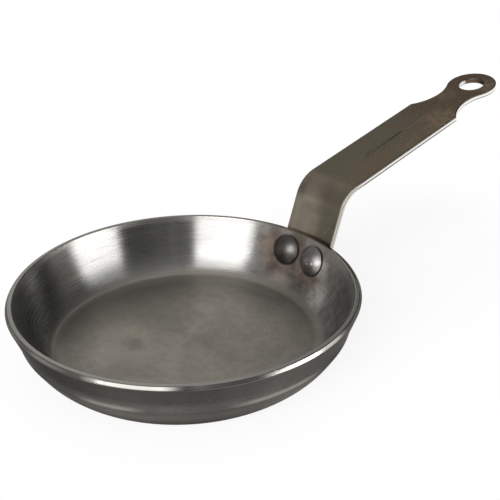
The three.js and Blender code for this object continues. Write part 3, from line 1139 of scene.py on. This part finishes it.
def on_side(c, n):
    return abs(n.dot(under_grip)) < grip_side if beyond_fold(c) else abs(n.y) > foot_side


def on_corner(c, n):
    if beyond_fold(c):
        return grip_side < abs(n.dot(under_grip)) < grip_flat
    return foot_flat < abs(n.y) <= foot_side


def in_hole(c, n):
    return on_side(c, n) and (c - eye_middle).length < hole_radius + 1


print("sides of the strip:", sum(on_side(f.center / MM, f.normal) for f in handle.data.polygons), "faces")

# %% [markdown]
# The first finish of a piece covers all of it. Each further one is a new
# material slot, given to the faces that are picked for it, and a later finish
# takes faces from an earlier one: the lip from the wall, and the corners and
# the hole from the strip.

# %% Lay the finishes on
def lay(piece, steel, wanted=None):
    piece.data.materials.append(steel)
    if wanted:
        pick_faces(piece, wanted)
        piece.active_material_index = len(piece.data.materials) - 1
        bpy.ops.object.material_slot_assign()
        take(piece)


lay(pan, outside)
lay(pan, inside, on_inside)
lay(pan, lip, on_lip)
lay(handle, browned)
lay(handle, sheared, on_side)
lay(handle, rolled, on_corner)
lay(handle, punched, in_hole)
lay(rivet_left, tumbled)
lay(rivet_right, tumbled)
for piece in (pan, handle):
    worn_by = [face.material_index for face in piece.data.polygons]
    for index, steel in enumerate(piece.data.materials):
        print(piece.name, "wears", steel.name, "on", worn_by.count(index), "faces")

# %% [markdown]
# The pan stands on a plain white floor that runs to the horizon, so the floor
# is also the background, and steel that faces down shows it. Near the pan the
# floor keeps some of its own light and so takes the shadow. Farther off, rays
# from the camera and from the metal find it plain white, at a strength of 1.

# %% Floor
floor_size, floor_drop = 180, 0.05
under_handle = 120.0
plain_near = 0.86

put_down()
bpy.ops.mesh.primitive_plane_add(size=floor_size, location=(0, 0, -floor_drop * MM))
floor = bpy.context.object
floor.name = floor.data.name = "floor"
paper, tree, spot = finish("white paper")
x, y = split(spot)[:2]
beside = x - x.larger(0.0).smaller(under_handle)
away = from_axis(beside, y)
by_camera, by_metal, through_glass = (
    Wire.node(tree, "ShaderNodeLightPath", {}, {}, name)
    for name in ("Is Camera Ray", "Is Glossy Ray", "Is Transmission Ray")
)
seen = (by_camera + by_metal + through_glass).smaller(1.0)
plain = seen * (plain_near + away.rise(30, 85) * (1 - plain_near))
lit = Wire.node(tree, "ShaderNodeBsdfDiffuse", {}, {"Color": (0.95, 0.95, 0.95, 1)})
white = Wire.node(tree, "ShaderNodeEmission", {}, {"Color": (1, 1, 1, 1), "Strength": 1.0})
show(paper, blend(plain, lit, white))
floor.data.materials.append(paper)

# %% [markdown]
# The light is a soft studio: two large white panels in front, a tall one left
# of the camera and a low one right of it, with a dark gap between them, and a
# grey surround that is brighter behind and darker on the far right. It is
# painted on the world, which stands at no distance, so that the floor is lit
# evenly as far as it goes. Each part is placed by degrees to the right of the
# camera and above the floor.

# %% Studio light
studio = bpy.data.worlds.new("studio")
bpy.context.scene.world = studio
studio.use_nodes = True
tree = studio.node_tree
ray = Wire.node(tree, "ShaderNodeTexCoord", output="Generated")


def towards(around, lift):
    turn, rise = math.radians(camera_turn + around), math.radians(lift)
    way = (math.sin(turn) * math.cos(rise), -math.cos(turn) * math.cos(rise), math.sin(rise))
    return Wire.node(
        tree, "ShaderNodeVectorMath", {"operation": "DOT_PRODUCT"}, {0: ray, 1: way}, "Value"
    )


front, right, up = towards(0, 0), towards(90, 0), towards(0, 90)
around = right.math("ARCTAN2", right, front) * math.degrees(1)
lift = up.math("ARCSINE", up) * math.degrees(1)
right_panel = (around - lift * 0.3).rise(46.5, 50.5) * (around + lift * 0.3).rise(95, 87)
right_panel = right_panel * lift.band(1, 20, 2)
left_width = around.band(-49, -5.5, 2)
left_panel = left_width * (lift - (around + 50) * 0.25).rise(1, 5) * lift.rise(48, 42)
print("panels:", len(tree.nodes), "nodes")

# %% [markdown]
# The surround is a plain grey, lighter overhead and behind the pan. What the
# studio adds to it and takes from it shows as soft bands in the steel: a glow
# on the far left, a haze above the left panel, a low light beyond the right
# one, dark places high on the right and behind, and the gap between the panels
# with two thin slits of light in it. No part may fall below zero, or the steel
# would show black spots, so the dark places are joined by the larger of the two
# instead of added.

# %% Surround
grey, left_strength, right_strength = 0.38, 6.5, 10

gap_between = around.band(-4, 54, 3) * lift.rise(66, 50) * (0.4 + around.rise(0, 50) * 0.28)
slits = (around.band(11, 13.5, 1) * 0.2 + around.band(23, 25, 0.8) * 0.1) * lift.band(5, 48, 6)
glow = around.band(-98, -72, 4) * lift.rise(22, 8)
left_haze = left_width * lift.band(46, 74, 6)
right_low = around.band(91, 107, 3) * lift.band(-1, 20, 2)
right_high = around.band(58, 130, 8) * lift.band(25, 62, 4)
behind_right = around.band(114, 158, 6) * lift.rise(44, 34)
behind = towards(-156, 27).rise(0.84, 0.98) * 0.32 + towards(180, 52).rise(0.9, 0.99) * 0.1
surround = (
    grey + lift.rise(48, 64) * 0.24 + behind + glow * 0.6 + right_low * 1.2 + left_haze * 0.35
    - right_high.larger(behind_right) * 0.31
) * (1 - gap_between) + slits
strength = surround + right_panel * right_strength + left_panel * left_strength
background = tree.nodes["Background"]
background.inputs["Color"].default_value = (1, 1, 1, 1)
tree.links.new(strength.socket, background.inputs["Strength"])
print("world:", len(tree.nodes), "nodes")

# %% [markdown]
# Each piece now takes the place of the imported solid that it was modelled from:
# it rides on the same body and hides that solid. The floor is only a stage.
# Last, the box round everything is written down beside the solid's own, to see
# that nothing has grown beyond the true size.

# %% Hand the pieces to the frame
for piece, node, slot in (
    (pan, "pan_body", "pan_steel"),
    (handle, "handle", "handle_steel"),
    (rivet_left, "rivet_left", "rivet_steel"),
    (rivet_right, "rivet_right", "rivet_steel"),
):
    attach(piece, "root")
    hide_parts(node)
floor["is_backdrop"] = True
bpy.context.scene.view_settings.view_transform = "Standard"

dressed_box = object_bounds()
for low, high, name in zip(*dressed_box, "XYZ"):
    print(name, "from", round(low / MM, 2), "to", round(high / MM, 2), "mm")
